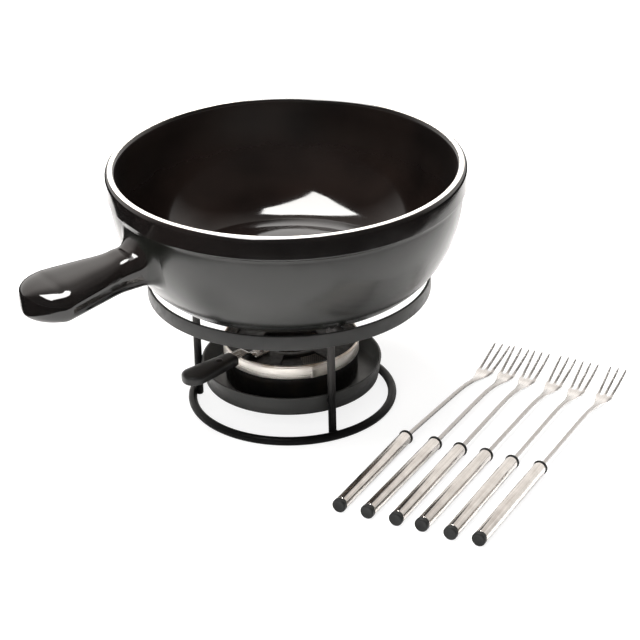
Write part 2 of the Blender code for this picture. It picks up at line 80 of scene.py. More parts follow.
HANDLE_ANGLE = 213.5
HANDLE_END = 0.2009
HANDLE_ROUND = 0.0257
HANDLE_STRAIGHT_END = HANDLE_END - HANDLE_ROUND
HANDLE_SQUARE = 2.8
HANDLE_CURVE = 2.1
# the handle up to its rounded tip: (distance, half width, low, high)
HANDLE_ROWS = ((0.1100, 0.0148, 0.1222, 0.1481), (0.1277, 0.0148, 0.1222, 0.1475),
               (0.1380, 0.0157, 0.1222, 0.1459), (0.1565, 0.0202, 0.1207, 0.1450),
               (HANDLE_STRAIGHT_END, 0.0246, 0.1192, 0.1440))
TIP_HALF_WIDTH = 0.0259
TIP_HALF_DEPTH = 0.0124
TIP_MIDDLE = 0.1308
FILLET_OUT = 0.0100  # how far from the wall the handle starts to flare
FILLET_TOP = 0.0175  # how far the flare reaches above the handle, beside it and below it
FILLET_SIDE = 0.0090
FILLET_BELOW = 0.0050
EDGE_SINK = 0.00015  # the flare's edge lies this deep in the pot's wall
ROOT_DEPTH = 0.0015  # and the handle's skin closes this deep inside it

CUP_R = 0.0454
CUP_SHEET = 0.0008
CUP_LOW = 0.0187
CUP_HIGH = 0.0420
PAD_HIGH = 0.0330
COLLAR_R = 0.0465
COLLAR_SHEET = 0.0008
COLLAR_BOTTOM = 0.0375
COLLAR_TOP = 0.0476
SHELF_Z = 0.0423
PLATE_Z = 0.0434
PLATE_R = 0.0452
PLATE_SHEET = 0.0010
WINDOW_RIM = 0.0200  # open middle of the shelf and of the plate
WINDOW_LOW_R = 0.0245
WINDOW_HIGH_R = 0.0395
WINDOW_ANGLE = 50.0
WINDOW_COUNT = 3
SEAM_ANGLE = -73.0

LEVER_ANGLE = 222.9
LEVER_TO_OPEN = 25.0
STRIP_WIDTH = 0.0090
STRIP_THICK = 0.0012
# (distance, height) along the strip's underside
STRIP_UNDER = ((0.0240, 0.0447), (0.0375, 0.0447), (0.0420, 0.0506), (0.0800, 0.0506))
GRIP_INNER = 0.0530
GRIP_NECK = 0.0056
GRIP_SWELL = (0.0690, 0.0073)  # (distance, half width)
GRIP_CENTRE = 0.0878
GRIP_END_R = 0.0090
GRIP_LOW = 0.0458
GRIP_HIGH = 0.0532
RIVET_R = 0.0012
RIVET_HEAD_R = 0.0023
RIVET_HEAD = 0.0009
PLATE_RIVETS = (0.0270, 0.0345)
GRIP_RIVET = 0.0660

# end of each fork's handle from the stand's axis, its direction, and the lean of its rod
FORKS = ((0.0269, -0.1583, 61.2, -3.7), (0.0444, -0.1670, 60.3, 0.0), (0.0620, -0.1768, 61.4, 0.0),
         (0.0778, -0.1848, 60.9, 0.0), (0.0952, -0.1956, 61.7, 0.0), (0.1123, -0.2040, 61.4, 0.0))
# (distance, height of the middle above the table) along a fork
FORK_HEIGHTS = ((0.0, 0.0050), (0.168, 0.0050), (0.182, 0.0046), (0.196, 0.0026), (0.206, 0.0012),
                (0.214, 0.0021), (0.227, 0.0064), (0.239, 0.0112))
FORK_DIRECTION = 61.2  # the scratches on the forks follow this
TUBE_R = 0.0045
TUBE_SHEET = 0.0006
TUBE_START = 0.0040
TUBE_END = 0.0980
CAP_R = 0.0047
PLUG_R = 0.0050
PLUG_FLANGE = 0.0016
PLUG_END = 0.1020
ROD_R = 0.0015
ROD_CAGE = 1.03 * ROD_R  # smoothing draws the rod in from this
ROD_START = 0.0890
ROD_STATIONS = (ROD_START, ROD_START + 0.001, PLUG_END, 0.1350, 0.1680, 0.1760, 0.1830)
# neck and palm: (distance, half width, half thickness, roundness)
PALM_SECTIONS = ((0.1900, 0.0017, 0.0014, 0.9), (0.1960, 0.0021, 0.0012, 0.7),
                 (0.2015, 0.0033, 0.0010, 0.4), (0.2060, 0.0046, 0.0009, 0.2),
                 (0.2100, 0.0059, 0.0009, 0.0), (0.2125, 0.0064, 0.0009, 0.0))
PALM_ACROSS = (-1.0, -0.55, -0.2, 0.2, 0.55, 1.0)  # both edges of each tine at its root
# tine: (distance, half width, distance apart)
TINE_STATIONS = ((0.2150, 0.00112, 0.0046), (0.2185, 0.00102, 0.0049), (0.2260, 0.00098, 0.0052),
                 (0.2340, 0.00092, 0.0055), (0.2378, 0.00070, 0.0056), (0.2389, 0.00025, 0.0056))
TINE_HALF_THICK = 0.00078
GAP = 0.0003  # between parts that the CAD keeps apart

# ---------- camera and studio
CAMERA_BACK = 1.5561  # from the stand's axis, towards -Y
CAMERA_HEIGHT = 0.8467
CAMERA_LENS = 143.8
CAMERA_PAN = 0.742  # degrees towards +X
CAMERA_TILT = 26.87
CAMERA_ROLL = -1.375
SENSOR = 36.0  # mm

TABLE_HALF = 6.0
SEEN_TABLE = (0.80, 0.30)  # (glow, albedo) of the table that the camera sees
MIRRORED_TABLE = (0.0, 0.84)  # and of the one that lights the set and shows in reflections
UNDER_TABLE = -0.0005
SKY = ((0.0, (1.0, 0.975, 0.950)), (0.50, (0.96, 0.92, 0.88)), (0.62, (0.93, 0.88, 0.84)),
       (0.82, (0.36, 0.34, 0.32)))  # (rise, colour)
SKY_STRENGTH = (0.09, 1.40, -0.05, 0.45)  # (front, back, from, to) along +Y
FILL_SIZE = 1.4
FILL_POWER = 34.0
FILL_PLACE = (-0.5, -1.7, 0.9)

SOFTBOX_HEIGHT = 1.5
SOFTBOX_COLOUR = (1.0, 0.985, 0.965)
SOFTBOX_STRENGTH = 23.0
SOFTBOX = ((0.22, 0.25), (0.04, 0.42), (-0.30, 0.45), (-0.74, 0.34), (-0.62, -0.52), (-0.46, -0.84),
           (-0.28, -0.60), (0.24, -0.03))
DARK_FROM = 0.434  # reflections of the table end here, from the stand's axis
DARK_NEARER = 0.110  # and that much nearer on the handle's side, in this direction
DARK_NEAREST_AT = 187.0
DARK_TO = 4.0
DARK_HEIGHT = 0.002
DARK_COLOUR = (0.02, 0.02, 0.02)

FINE = 192  # segments round the pot
MEDIUM = 128
SMALL = 40


# ---------- material tools
SHADER = "Principled BSDF"


def new_material(name, metallic=0.0, ior=1.5, glow=0.0):
    """New material, and plain coordinates in metres in its node tree."""
    material = bpy.data.materials.new(name)
    material.use_nodes = True
    inputs = material.node_tree.nodes[SHADER].inputs
    inputs["Metallic"].default_value = metallic
    inputs["IOR"].default_value = ior
    inputs["Emission Strength"].default_value = glow
    return material, pattern(material.node_tree)


def add(tree, kind, values=None, **settings):
    """Add a shader node; a value that is a socket is linked, any other is set."""
    made = tree.nodes.new("ShaderNode" + kind)
    for name, value in settings.items():
        setattr(made, name, value)
    for socket, value in (values or {}).items():
        if isinstance(value, bpy.types.NodeSocket):
            tree.links.new(value, made.inputs[socket])
        else:
            made.inputs[socket].default_value = value
    return made


def pattern(tree, stretch=(1.0, 1.0, 1.0), direction=0.0):
    """Coordinates with +X turned to a direction in degrees, then stretched."""
    where = add(tree, "TexCoord").outputs["Object"]
    values = {"Vector": where, "Rotation": (0.0, 0.0, radians(direction)),
              "Scale": tuple(1 / factor for factor in stretch)}
    return add(tree, "Mapping", values, vector_type="TEXTURE").outputs["Vector"]


# the helpers below work in the node tree of the first socket that they are given
def height_above(beside):
    """Height above the table in metres, in the same tree as another socket."""
    where = add(beside.id_data, "TexCoord").outputs["Object"]
    return add(beside.id_data, "SeparateXYZ", {"Vector": where}).outputs["Z"]


def grain(where, scale, detail=4.0):
    """Noise from 0 to 1, with so many waves to the metre."""
    values = {"Vector": where, "Scale": scale, "Detail": detail}
    return add(where.id_data, "TexNoise", values).outputs["Fac"]


def spread(value, low, high, start=0.32, stop=0.68):
    """Map a value between start and stop to one between low and high."""
    values = {"Value": value, "From Min": start, "From Max": stop, "To Min": low, "To Max": high}
    return add(value.id_data, "MapRange", values).outputs["Result"]


def tint(value, *stops):
    """Colour ramp; each stop is (position, colour)."""
    ramp = add(value.id_data, "ValToRGB", {"Fac": value})
    elements = ramp.color_ramp.elements
    while len(elements) < len(stops):
        elements.new(1.0)
    for element, (position, colour) in zip(elements, stops):
        element.position = position
        element.color = (*colour, 1.0)
    return ramp.outputs["Color"]


def mixed(amount, first, second):
    """Colour between two colour sockets."""
    values = {0: amount, 6: first, 7: second}
    return add(amount.id_data, "Mix", values, data_type="RGBA").outputs[2]


def combine(first, second, operation="MULTIPLY"):
    """Two values multiplied, or put through another operation."""
    return add(first.id_data, "Math", {0: first, 1: second}, operation=operation).outputs[0]


def relief(height, depth, under=None):
    """Bump of a real depth in metres, on top of another bump if one is given."""
    values = {"Height": height, "Distance": depth, "Strength": 1.0}
    if under is not None:
        values["Normal"] = under
    return add(height.id_data, "Bump", values).outputs["Normal"]


def shaded(colour, factor):
    """Colour made lighter or darker by a factor."""
    return tuple(factor * part for part in colour)


def finish(material, colour, roughness, normal):
    """Link the three patterns to the material's shader, and return the material."""
    tree = material.node_tree
    for name, socket in {"Base Color": colour, "Roughness": roughness, "Normal": normal}.items():
        tree.links.new(socket, tree.nodes[SHADER].inputs[name])
    return material


# ---------- materials
# colours of the painted highlight along the lip's crest
LIP_HIGHLIGHT = ((0.66, 0.61, 0.55), (0.84, 0.81, 0.77))
FOOT_CLAY = ((0.085, 0.060, 0.045), (0.150, 0.110, 0.085))
FOOT_ROUGHNESS = 0.6
# heights over which the painted highlight line on the lip grows, the unglazed foot ends and the
# bowl's haze grows
LINE_EDGE = (POT_TOP - LIP_LINE_DEPTH, POT_TOP - 0.4 * LIP_LINE_DEPTH)
FOOT_EDGE = (POT_BASE + 0.0002, POT_BASE + 0.0006)
HAZE_EDGE = (0.120, 0.148)
LINE_WANDER = 0.00012  # how much the glaze's clouds shift the edge of the painted highlight line
HEAT_TINTS = ((0.30, (0.0060, 0.0058, 0.0056)), (0.52, (0.0100, 0.0088, 0.0082)),
              (0.62, (0.0165, 0.0130, 0.0098)), (0.74, (0.0090, 0.0100, 0.0125)))


def glaze_material(name, low, high, gloss_range, ior=1.52, dulled=0.0):
    """Deep dark glaze, with a painted highlight as a pale line along the lip's crest, left off the
    unglazed clay foot.

    The dulled amount is added to the roughness towards the rim.
    """
    material, where = new_material(name, ior=ior)
    height = height_above(where)
    cloud = grain(where, scale=16.0, detail=3.0)
    speck = grain(where, scale=700.0, detail=2.0)
    body = tint(cloud, (0.35, low), (0.68, high))
    # painted highlight: a pale line along the lip's crest
    lip_highlight = tint(speck, (0.30, LIP_HIGHLIGHT[0]), (0.70, LIP_HIGHLIGHT[1]))
    ragged = combine(height, combine(cloud, LINE_WANDER), "ADD")
    on_lip = spread(ragged, 0.0, 1.0, *LINE_EDGE)
    glazed = mixed(on_lip, body, lip_highlight)
    clay = tint(speck, (0.35, FOOT_CLAY[0]), (0.70, FOOT_CLAY[1]))
    foot = spread(height, 1.0, 0.0, *FOOT_EDGE)
    colour = mixed(foot, glazed, clay)
    gloss = spread(grain(where, scale=55.0), *gloss_range)
    roughness = combine(gloss, combine(foot, FOOT_ROUGHNESS), "ADD")
    if dulled:
        haze = spread(height, 0.0, dulled, *HAZE_EDGE)
        roughness = combine(roughness, haze, "ADD")
    normal = relief(grain(where, scale=45.0, detail=1.0), depth=0.00010)
    normal = relief(speck, depth=0.000003, under=normal)
    return finish(material, colour, roughness, normal)


def paint_material(name, low, high, roughness_range, ior, painted_sheen=None, depth=0.000004):
    """Baked satin paint with a slight orange peel; a painted sheen on it is (colour, from, to) by
    height, lighter higher up.
    """
    material, where = new_material(name, ior=ior)
    cloud = grain(where, scale=45.0)
    colour = tint(cloud, (0.35, low), (0.68, high))
    # painted sheen: the paint turns lighter between two heights, standing for the light that the
    # upper part catches
    if painted_sheen:
        sheen_colour, start, stop = painted_sheen
        sheen_tone = tint(cloud, (0.35, sheen_colour), (0.68, shaded(sheen_colour, 1.25)))
        colour = mixed(spread(height_above(where), 0.0, 1.0, start, stop), colour, sheen_tone)
    roughness = spread(grain(where, scale=260.0), *roughness_range)
    normal = relief(grain(where, scale=1300.0, detail=2.0), depth)
    normal = relief(grain(where, scale=160.0, detail=1.0), 2.5 * depth, under=normal)
    return finish(material, colour, roughness, normal)


def steel_material(name, stretch, direction, colours, roughness_range, depth, stain_and_shade=None):
    """Polished steel with fine scratches along one direction.

    The darkening by height is (colour, height where it starts, height where it is full, evenness
    from 0 to 1): the collar's top is heat-stained, and the fork rods are darker higher above the
    table as painted shade.
    """
    low, high = colours
    material, where = new_material(name, metallic=1.0)
    scratch = grain(pattern(where.id_data, stretch, direction), scale=1.0, detail=6.0)
    cloud = grain(where, scale=90.0)
    average = combine(combine(cloud, scratch, "ADD"), 0.5)
    colour = tint(average, (0.35, low), (0.65, high))
    # darkening by height: a heat stain on the collar, painted shade on the fork rods and tines
    if stain_and_shade:
        stain_and_shade_colour, start, stop, evenness = stain_and_shade
        heat = spread(height_above(where), 0.0, 0.8, start, stop)
        patchy = combine(heat, spread(cloud, evenness, 1.0, 0.40, 0.62))
        stain_and_shade_tone = tint(scratch, (0.3, stain_and_shade_colour), (0.7, shaded(stain_and_shade_colour, 1.3)))
        colour = mixed(patchy, colour, stain_and_shade_tone)
    roughness = spread(scratch, *roughness_range)
    return finish(material, colour, roughness, relief(scratch, depth))


def blackened_material(name, metallic, ior, shade):
    """Blackened sheet steel with straw and blue heat tints and a dry, sooty surface."""
    material, where = new_material(name, metallic, ior)
    cloud = grain(where, scale=70.0, detail=5.0)
    colour = tint(cloud, *((spot, shaded(tone, shade)) for spot, tone in HEAT_TINTS))
    roughness = spread(grain(where, scale=320.0), 0.38, 0.62)
    normal = relief(grain(where, scale=900.0), depth=0.00004)
    return finish(material, colour, roughness, normal)


def gauze_material():
    """Plain woven steel wire at a pitch of about 1.4 mm."""
    material, where = new_material("woven_steel_gauze", metallic=0.8)
    bands = {"Vector": where, "Scale": 224.0, "Distortion": 0.4}
    warp, weft = (add(where.id_data, "TexWave", bands, bands_direction=axis).outputs["Fac"]
                  for axis in "XY")
    weave = combine(warp, weft, "MAXIMUM")
    colour = tint(weave, (0.35, (0.010, 0.010, 0.010)), (0.70, (0.13, 0.12, 0.105)))
    roughness = spread(grain(where, scale=500.0), 0.35, 0.6)
    return finish(material, colour, roughness, relief(weave, depth=0.0004))


def wool_material():
    """Felted mineral wool, scorched in patches."""
    material, where = new_material("mineral_wool")
    fibre = grain(pattern(where.id_data, (1.0, 1.0, 3.0)), scale=1100.0, detail=8.0)
    clean = tint(fibre, (0.35, (0.38, 0.36, 0.31)), (0.65, (0.62, 0.60, 0.54)))
    scorched = tint(fibre, (0.35, (0.08, 0.06, 0.045)), (0.65, (0.26, 0.21, 0.15)))
    patches = spread(grain(where, scale=60.0), 0.0, 1.0, 0.45, 0.62)
    colour = mixed(patches, clean, scorched)
    roughness = spread(fibre, 0.88, 1.0)
    return finish(material, colour, roughness, relief(fibre, depth=0.0006))


def moulded_material(name, low, high, roughness_range, ior, texture_scale, depth):
    """Moulded plastic: faint flow marks and a fine surface texture."""
    material, where = new_material(name, ior=ior)
    flow = grain(pattern(where.id_data, (1.0, 1.0, 0.4)), scale=120.0)
    colour = tint(flow, (0.35, low), (0.68, high))
    roughness = spread(grain(where, scale=420.0), *roughness_range)
    texture = relief(grain(where, texture_scale), depth)
    return finish(material, colour, roughness, texture)


def floor_material(name, glow, albedo):
    """Matt table top, grey of one albedo with faint clouds, that may glow white."""
    material, where = new_material(name, glow=glow)
    cloud = grain(where, scale=6.0)
    colour = tint(cloud, (0.3, (albedo - 0.01,) * 3), (0.7, (albedo,) * 3))
    roughness = spread(grain(where, scale=30.0), 0.85, 0.95)
    normal = relief(grain(where, scale=400.0), depth=0.00002)
    return finish(material, colour, roughness, normal)


GLAZE = glaze_material("black_glaze", (0.0035, 0.0031, 0.0030), (0.0065, 0.0052, 0.0048),
                       (0.06, 0.10))
SATIN_GLAZE = glaze_material("black_glaze_outside", (0.0035, 0.0038, 0.0032),
                             (0.0062, 0.0066, 0.0054), (0.20, 0.27), ior=1.48)
BOWL_GLAZE = glaze_material("black_glaze_inside", (0.0030, 0.0021, 0.0019),
                            (0.0088, 0.0058, 0.0048), (0.06, 0.10), dulled=0.24)
PAINT = paint_material("satin_black_paint", (0.011, 0.011, 0.0108), (0.018, 0.018, 0.0175),
                       (0.32, 0.46), 1.36)
# painted shade: a darker copy of the band's paint, so the ring and the low wires read black; the
# lighter tone up the uprights is a painted sheen
WIRE_PAINT = paint_material("wire_paint", (0.0028, 0.0028, 0.0029), (0.0048, 0.0048, 0.0049),
                            (0.30, 0.42), 1.19, ((0.036, 0.034, 0.033), 0.030, 0.058))
ENAMEL = paint_material("tray_enamel", (0.014, 0.014, 0.0135), (0.022, 0.022, 0.021),
                        (0.34, 0.46), 1.42)
# painted light: a paler copy of the tray's enamel for its inside, standing for the light that falls
# into the tray
ENAMEL_PAINTED_LIGHT = paint_material("tray_enamel_inside", (0.075, 0.076, 0.072), (0.100, 0.101, 0.096),
                             (0.34, 0.46), 1.45, depth=0.000002)
COLLAR_STEEL = steel_material("collar_steel", (35.0, 35.0, 2600.0), 0.0,
                              ((0.72, 0.68, 0.63), (0.88, 0.84, 0.79)), (0.26, 0.38), 0.000003,
                              ((0.34, 0.24, 0.15), COLLAR_TOP - 0.003, COLLAR_TOP, 0.1))
LEVER_STEEL = steel_material("lever_steel", (60.0, 1500.0, 1500.0), LEVER_ANGLE,
                             ((0.32, 0.315, 0.30), (0.50, 0.49, 0.47)), (0.16, 0.30), 0.000002)
FORK_STEEL = steel_material("fork_steel", (22.0, 1500.0, 1500.0), FORK_DIRECTION,
                            ((0.47, 0.445, 0.42), (0.66, 0.635, 0.61)), (0.10, 0.20), 0.000002)
# painted shade: the rods and tines darken higher above the table, while the palm stays light where
# it dips close to it
ROD_STEEL = steel_material("fork_rod_steel", (22.0, 1500.0, 1500.0), FORK_DIRECTION,
                           ((0.62, 0.605, 0.59), (0.80, 0.785, 0.77)), (0.14, 0.26), 0.000002,
                           ((0.27, 0.263, 0.256), 0.0022, 0.0042, 0.9))
RIVET_STEEL = steel_material("rivet_steel", (900.0, 900.0, 900.0), 0.0,
                             ((0.50, 0.49, 0.47), (0.70, 0.69, 0.67)), (0.22, 0.40), 0.000004)
BURNT_PLATE = blackened_material("blackened_plate", 0.10, 1.35, 0.6)
BLACK_CUP = blackened_material("blackened_cup", 0.0, 1.30, 0.35)
GAUZE = gauze_material()
WOOL = wool_material()
PHENOLIC = moulded_material("black_phenolic", (0.0055, 0.0054, 0.0053), (0.0095, 0.0093, 0.0091),
                            (0.30, 0.40), 1.38, 900.0, 0.000002)
FORK_PLASTIC = moulded_material("charcoal_plastic", (0.006, 0.0063, 0.0063),
                                (0.012, 0.0124, 0.0120), (0.40, 0.56), 1.27, 2300.0, 0.000006)


# ---------- shape tools
def at_stand(angle=0.0):
    """Local axes on the stand's axis, with +X turned to an angle."""
    return Matrix.Translation(STAND_AXIS) @ Matrix.Rotation(radians(angle), 4, "Z")


def new_object(name, data):
    """New object at the origin, in the scene."""
    made = bpy.data.objects.new(name, data)
    bpy.context.collection.objects.link(made)
    return made


def mesh_of(name, bm):
    """New mesh from a bmesh, which is freed."""
    mesh = bpy.data.meshes.new(name)
    bm.to_mesh(mesh)
    bm.free()
    return mesh


def make_piece(name, bm, material, body, place=None, replaced=(), sharp=40.0):
    """Turn a bmesh into a piece that rides on a body and stands for the CAD nodes it replaces."""
    bmesh.ops.remove_doubles(bm, verts=bm.verts, dist=1e-7)
    bmesh.ops.recalc_face_normals(bm, faces=bm.faces)
    bm.transform(place or at_stand())
    mesh = mesh_of(name, bm)
    mesh.shade_smooth()
    mesh.set_sharp_from_angle(angle=radians(sharp))
    mesh.materials.append(material)
    piece = new_object(name, mesh)
    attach(piece, body)
    if replaced:
        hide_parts(*replaced)
    return piece


def modify(piece, name, kind, **settings):
    """Give a piece a modifier."""
    modifier = piece.modifiers.new(name, kind)
    for setting, value in settings.items():
        setattr(modifier, setting, value)


def soften(points, radius, steps=4, closed=True):
    """Round each corner of an outline of (a, b) points."""
    result = []
    last = len(points) - 1
    for i, point in enumerate(points):
        if not closed and i in (0, last):
            result.append(tuple(point))
            continue
        corner = Vector(point)
        back = Vector(points[i - 1]) - corner
        ahead = Vector(points[(i + 1) % len(points)]) - corner
        start = corner + back.normalized() * min(radius, 0.45 * back.length)
        stop = corner + ahead.normalized() * min(radius, 0.45 * ahead.length)
        for step in range(steps + 1):
            t = step / steps
            result.append(tuple((1 - t) ** 2 * start + 2 * t * (1 - t) * corner + t * t * stop))
    return result


def lathe(profile, segments=MEDIUM, closed=True):
    """Spin (radius, height) points about Z; an open profile starts and ends on the axis."""
    bm = bmesh.new()
    poles = {}
    columns = []
    for step in range(segments):
        angle = 2 * pi * step / segments
        column = []
        for i, (radius, height) in enumerate(profile):
            if radius > 1e-7:
                column.append(bm.verts.new((radius * cos(angle), radius * sin(angle), height)))
                continue
            if i not in poles:
                poles[i] = bm.verts.new((0.0, 0.0, height))
            column.append(poles[i])
        columns.append(column)
    count = len(profile)
    for step, here in enumerate(columns):
        there = columns[(step + 1) % segments]
        for i in range(count if closed else count - 1):
            j = (i + 1) % count
            corners = list(dict.fromkeys((here[i], there[i], there[j], here[j])))
            if len(corners) > 2:
                bm.faces.new(corners)
    return bm


def join_rings(bm, near, far):
    """Skin between two equal loops of vertices."""
    count = len(near)
    for i in range(count):
        j = (i + 1) % count
        bm.faces.new((near[i], near[j], far[j], far[i]))


def skin(bm, rings):
    """Skin over equal rings of points, closed at its start; returns the last loop of vertices."""
    loops = [[bm.verts.new(point) for point in ring] for ring in rings]
    for near, far in zip(loops, loops[1:]):
        join_rings(bm, near, far)
    bm.faces.new(reversed(loops[0]))
    return loops[-1]


def loft(rings):
    """Skin over equal rings of points, closed at both ends."""
    bm = bmesh.new()
    bm.faces.new(skin(bm, rings))
    return bm


def curve_through(stations, steps):
    """Smooth curve through tuples of numbers, with so many steps between two of them."""
    rows = [Vector(station) for station in stations]
    rows = [2 * rows[0] - rows[1]] + rows + [2 * rows[-1] - rows[-2]]
    result = []
    for a, b, c, d in zip(rows, rows[1:], rows[2:], rows[3:]):
        for step in range(steps):
            t = step / steps
            result.append(0.5 * (2 * b + (c - a) * t + (2 * a - 5 * b + 4 * c - d) * t * t
                                 + (3 * b - a - 3 * c + d) * t ** 3))
    return result + [rows[-2]]


def arc(centre_x, centre_z, radius, start, end, steps):
    """Points (x, z) along an arc, angles in degrees."""
    angles = [radians(start + (end - start) * i / steps) for i in range(steps + 1)]
    return [(centre_x + radius * cos(a), centre_z + radius * sin(a)) for a in angles]


def angles_round(sides):
    """Evenly spaced angles, half a step off +X."""
    return [2 * pi * (i + 0.5) / sides for i in range(sides)]


def rounded_point(half_width, low, high, squareness, angle):
    """(across, height) at one angle of a rounded rectangle."""
    across = copysign(abs(cos(angle)) ** (2 / squareness), cos(angle))
    upward = copysign(abs(sin(angle)) ** (2 / squareness), sin(angle))
    return half_width * across, 0.5 * (low + high) + 0.5 * (high - low) * upward


def rounded_ring(half_width, low, high, squareness, sides):
    """(across, height) points of a rounded rectangle."""
    return [rounded_point(half_width, low, high, squareness, angle)
            for angle in angles_round(sides)]


def section_ring(row, squareness, sides):
    """Rounded ring for a (distance, half width, low, high) row."""
    distance, *section = row
    return [(distance, *point) for point in rounded_ring(*section, squareness, sides)]


def place_of(face):
    """(distance from the axis, height) of the middle of a face."""
    spot = face.calc_center_median()
    return spot.xy.length, spot.z


def headings(path):
    """Direction of a path at each of its (x, z) points."""
    spots = [Vector(point) for point in path]
    return [(ahead - behind).normalized()
            for behind, ahead in zip(spots[:1] + spots, spots[1:] + spots[-1:])]


def bend_wire(path, radius, sides=24):
    """Round wire along (x, z) points, rounded off at both ends."""
    turns = [2 * pi * k / sides for k in range(sides)]
    rings = []
    for i, ((x, z), along) in enumerate(zip(path, headings(path))):
        inward = Vector((along.y, 0.0, -along.x))
        size = radius if 0 < i < len(path) - 1 else 0.82 * radius
        rings.append([Vector((x, 0.0, z)) + Vector((0, 1, 0)) * (size * cos(turn))
                      + inward * (size * sin(turn)) for turn in turns])
    return loft(rings)


def weld_bead(name, centre, size, seed, place):
    """Small lump of painted weld metal, rippled by noise."""
    bm = bmesh.new()
    bmesh.ops.create_icosphere(bm, subdivisions=4, radius=1.0)
    for vert in bm.verts:
        ripple = 0.85 + 0.28 * noise.noise(vert.co * 2.3 + Vector((seed, 0.0, 0.0)))
        vert.co = Vector(centre) + Vector([c * s * ripple for c, s in zip(vert.co, size)])
    make_piece(name, bm, WIRE_PAINT, "stand", place, sharp=180)


# ---------- pot
def outside_radius(height):
    """Radius of the pot's outside, with the soft step under its collar."""
    if height < COLLAR_LOW:
        fall = 1 - max((height - POT_BASE) / (COLLAR_LOW - POT_BASE), 0.0)
        bulge = (1 - fall ** WALL_CURVE) ** (1 / WALL_CURVE)
        return POT_BASE_R + (POT_WALL_R - POT_BASE_R) * bulge
    t = min((height - COLLAR_LOW) / (COLLAR_FULL - COLLAR_LOW), 1.0)
    return POT_WALL_R + (POT_R - POT_WALL_R) * t * t * (3 - 2 * t)


def bowl_curve(inner, outer, low, high, power, steps):
    """Wall of a bowl: (radius, height) points from its flat base to its upright top."""
    points = []
    for i in range(steps + 1):
        angle = 0.5 * pi * i / steps
        reach = sin(angle) ** (2 / power)
        rise = 1 - cos(angle) ** (2 / power)
        points.append((inner + (outer - inner) * reach, low + (high - low) * rise))
    return points


def pot_profile():
    """(radius, height) points from the foot's middle, over the lip, to the floor's middle."""
    profile = [(share * POT_BASE_R, POT_BASE) for share in (0.0, 0.35, 0.8)]
    profile += bowl_curve(POT_BASE_R, POT_WALL_R, POT_BASE, COLLAR_LOW, WALL_CURVE, 48)
    step_steps = 10
    for i in range(1, step_steps + 1):
        height = COLLAR_LOW + (COLLAR_FULL - COLLAR_LOW) * i / step_steps
        profile.append((outside_radius(height), height))
    face_low, face_high = COLLAR_FULL + 0.0003, POT_TOP - POT_LIP_R - 0.0004
    profile += [(POT_R, face_low + (face_high - face_low) * k / 4) for k in range(5)]
    profile += arc(POT_R - POT_LIP_R, POT_TOP - POT_LIP_R, POT_LIP_R, 0, 180, 20)
    inside = bowl_curve(POT_FLOOR_R, POT_MOUTH_R - 0.0006, POT_FLOOR, POT_TOP - 0.010,
                        INNER_CURVE, 44)
    return profile + inside[::-1] + [(share * POT_FLOOR_R, POT_FLOOR) for share in (0.8, 0.4, 0.0)]


def handle_stations():
    """(distance, half width, low, high) from near the wall to the tip."""
    stations = list(HANDLE_ROWS)
    for angle in (14, 26, 38, 50, 62, 73, 82, 88):
        bulge = cos(radians(angle)) ** (2 / HANDLE_CURVE)
        reach = sin(radians(angle)) ** (2 / HANDLE_CURVE)
        half = TIP_HALF_DEPTH * (0.50 + 0.50 * bulge)
        stations.append((HANDLE_STRAIGHT_END + HANDLE_ROUND * reach, TIP_HALF_WIDTH * bulge,
                         TIP_MIDDLE - half, TIP_MIDDLE + half))
    return stations


def row_at(rows, distance):
    """The (distance, half width, low, high) row at a distance, between two given rows."""
    for near, far in zip(rows, rows[1:]):
        if distance <= far[0]:
            t = max((distance - near[0]) / (far[0] - near[0]), 0.0)
            return near.lerp(far, t)
    return rows[-1]


def wall_point(across, height, standoff):
    """Point on the pot's outside under the handle, or so far off it along the handle."""
    return sqrt(outside_radius(height) ** 2 - across ** 2) + standoff, across, height


def root_rings(edge):
    """Rings that close the handle inside the pot's wall, from near their middle out to the edge."""
    middle_y = sum(y for _, y, _ in edge) / len(edge)
    middle_z = sum(z for _, _, z in edge) / len(edge)
    return [[wall_point(middle_y + (y - middle_y) * share, middle_z + (z - middle_z) * share,
                        -ROOT_DEPTH) for _, y, z in edge]
            for share in (0.25, 0.50, 0.75, 1.0)]


def flare_ring(root, angles, turn, sink):
    """Ring of the flare, from a quarter turn on the pot's wall to none on the handle."""
    ring = []
    for angle, (_, across, height) in zip(angles, root):
        furthest = FILLET_TOP if sin(angle) > 0 else FILLET_BELOW
        reach = FILLET_SIDE + (furthest - FILLET_SIDE) * abs(sin(angle)) ** 1.5
        out = reach * (1 - cos(turn))
        ring.append(wall_point(across + out * cos(angle), height + out * sin(angle),
                               FILLET_OUT * (1 - sin(turn)) - sink))
    return ring


def handle_rings(sides=96):
    """Root inside the pot's wall, flare on it, then the handle out to its rounded tip."""
    rows = curve_through(handle_stations(), 8)
    angles = angles_round(sides)

    def skin_at(distance, angle):
        """(across, height) of the handle's skin."""
        return rounded_point(*row_at(rows, distance)[1:], HANDLE_SQUARE, angle)

    root = []
    for angle in angles:
        distance = POT_R
        for _ in range(4):
            distance, across, height = wall_point(*skin_at(distance, angle), FILLET_OUT)
        root.append((distance, across, height))
    flare_steps = 16
    flare = [flare_ring(root, angles, 0.5 * pi * step / flare_steps,
                        EDGE_SINK if step == flare_steps else 0.0)
             for step in range(flare_steps, 0, -1)]
    rings = root_rings(flare[0]) + flare
    body_steps = 20
    for step in range(body_steps + 1):
        ring = []
        for angle, (start, _, _) in zip(angles, root):
            distance = start + (HANDLE_STRAIGHT_END - start) * step / body_steps
            ring.append((distance, *skin_at(distance, angle)))
        rings.append(ring)
    return rings + [section_ring(row, HANDLE_SQUARE, sides) for row in rows
                    if row[0] > HANDLE_STRAIGHT_END + 0.0004]


